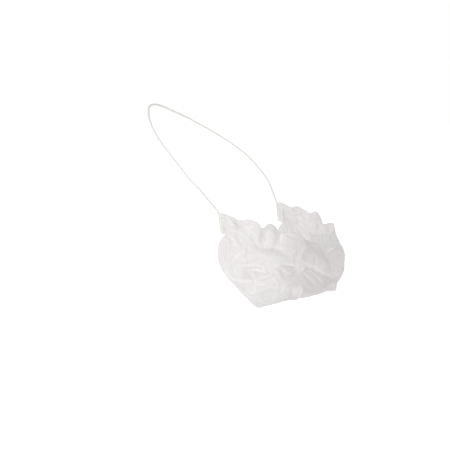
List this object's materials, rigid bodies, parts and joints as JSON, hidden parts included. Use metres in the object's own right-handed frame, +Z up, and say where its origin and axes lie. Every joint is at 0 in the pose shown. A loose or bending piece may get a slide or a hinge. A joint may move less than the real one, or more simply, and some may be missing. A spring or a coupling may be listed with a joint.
{
  "type": "disposable beard net",
  "caption": "Ruffled nonwoven pouch that hangs under the chin from a thin elastic round the back of the head.",
  "frame": {"origin": "the point of the wearer's chin, on the mid-plane inside the pouch", "axes": "the wearer faces -Y, the wearer's right is -X, +Z is up; the pouch opens upwards and backwards"},
  "size_m": [0.156, 0.207, 0.1931],
  "materials": {
    "nonwoven_cloth": "thin crisp white spunbond nonwoven, matt, slightly see-through, papery creases",
    "welded_edge": "pleated nonwoven pressed and welded stiff, slightly glossier than the cloth",
    "round_elastic": "round braided yarn over rubber, warm white, matt"
  },
  "bodies": {
    "root": {"pouch": "nonwoven_cloth", "end_seam_right": "welded_edge", "end_seam_left": "welded_edge", "head_elastic": "round_elastic"}
  },
  "joints": []
}
